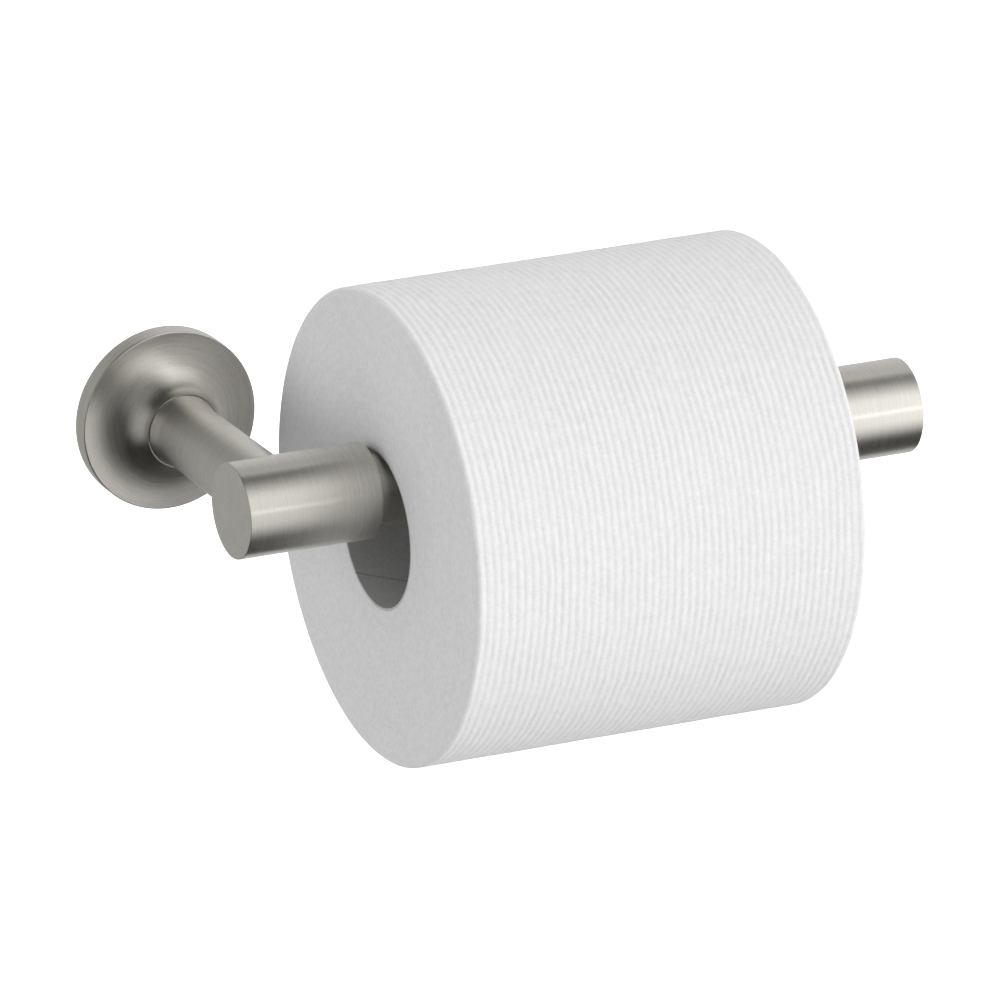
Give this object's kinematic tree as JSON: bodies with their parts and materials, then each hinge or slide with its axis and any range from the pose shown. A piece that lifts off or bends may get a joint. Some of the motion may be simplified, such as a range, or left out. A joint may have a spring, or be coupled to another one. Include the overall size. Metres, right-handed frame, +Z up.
{
  "type": "toilet paper holder",
  "caption": "Wall-mounted toilet paper holder: a round flange and post carry a pivoting open-ended bar with a full roll of ribbed tissue on its spindle.",
  "frame": {"origin": "centre of the wall bracket's back face, on the post's axis, in the plane of the wall", "axes": "+Y into the wall along the post's axis, +X along the bar to its free end, +Z up"},
  "size_m": [0.2043, 0.1608, 0.1262],
  "materials": {
    "brushed_nickel": "brushed nickel plate, fine lines round each turned piece",
    "zinc_plate": "bright zinc plate",
    "dark_steel": "black oxide",
    "spring_steel": "oiled spring steel",
    "acetal": "natural acetal",
    "nylon": "grey moulded nylon",
    "core_board": "spiral-wound grey board",
    "tissue": "soft white tissue with embossed rings"
  },
  "bodies": {
    "base": {"wall_bracket": "zinc_plate", "bracket_screw_upper": "zinc_plate", "bracket_screw_lower": "zinc_plate", "wall_anchor_upper": "nylon", "wall_anchor_lower": "nylon", "base_flange": "brushed_nickel", "set_screw": "dark_steel", "pivot_bushing": "acetal", "stop_pin": "dark_steel"},
    "arm": {"post": "brushed_nickel", "friction_washer": "acetal", "spring_washer": "spring_steel", "stop_washer": "zinc_plate", "retaining_screw": "dark_steel", "post_stud": "zinc_plate", "left_barrel": "brushed_nickel", "spindle_tube": "brushed_nickel", "tie_rod": "zinc_plate", "right_barrel": "brushed_nickel"},
    "roll": {"cardboard_core": "core_board", "paper_wind": "tissue"}
  },
  "joints": [
    {"name": "arm_pivot", "type": "hinge", "parent": "base", "child": "arm", "pos_m": [0, 0, 0], "axis": [0, -1, 0], "range_deg": [0, 90]},
    {"name": "roll_spin", "type": "hinge", "parent": "arm", "child": "roll", "pos_m": [0.0826, -0.0762, -0.011], "axis": [1, 0, 0], "continuous": true}
  ]
}
